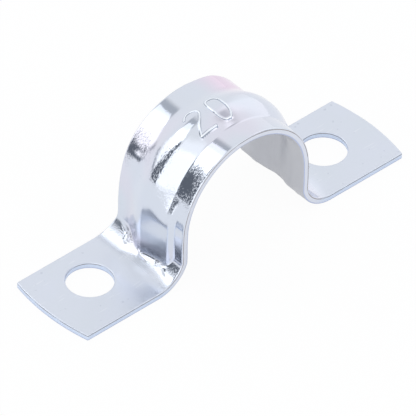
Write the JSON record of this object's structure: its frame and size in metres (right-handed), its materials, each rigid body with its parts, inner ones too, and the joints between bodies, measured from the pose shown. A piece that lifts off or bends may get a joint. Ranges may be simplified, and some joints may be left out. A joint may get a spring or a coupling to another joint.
{
  "type": "conduit strap",
  "caption": "Two-hole saddle strap folded from plated steel strip, with a round seat, a stiffening bead over the arch and flat feet with screw holes.",
  "frame": {"origin": "centre of the underside of the two feet, midway between the ends and between the long edges", "axes": "X runs along the strap from foot to foot, Y runs along the conduit with the front edge at -Y, +Z points from the wall out over the arch"},
  "size_m": [0.0574, 0.014, 0.0213],
  "materials": {
    "zinc_plate": "bright zinc plating with a clear blue passivation"
  },
  "bodies": {
    "root": {"strap": "zinc_plate"}
  },
  "joints": []
}
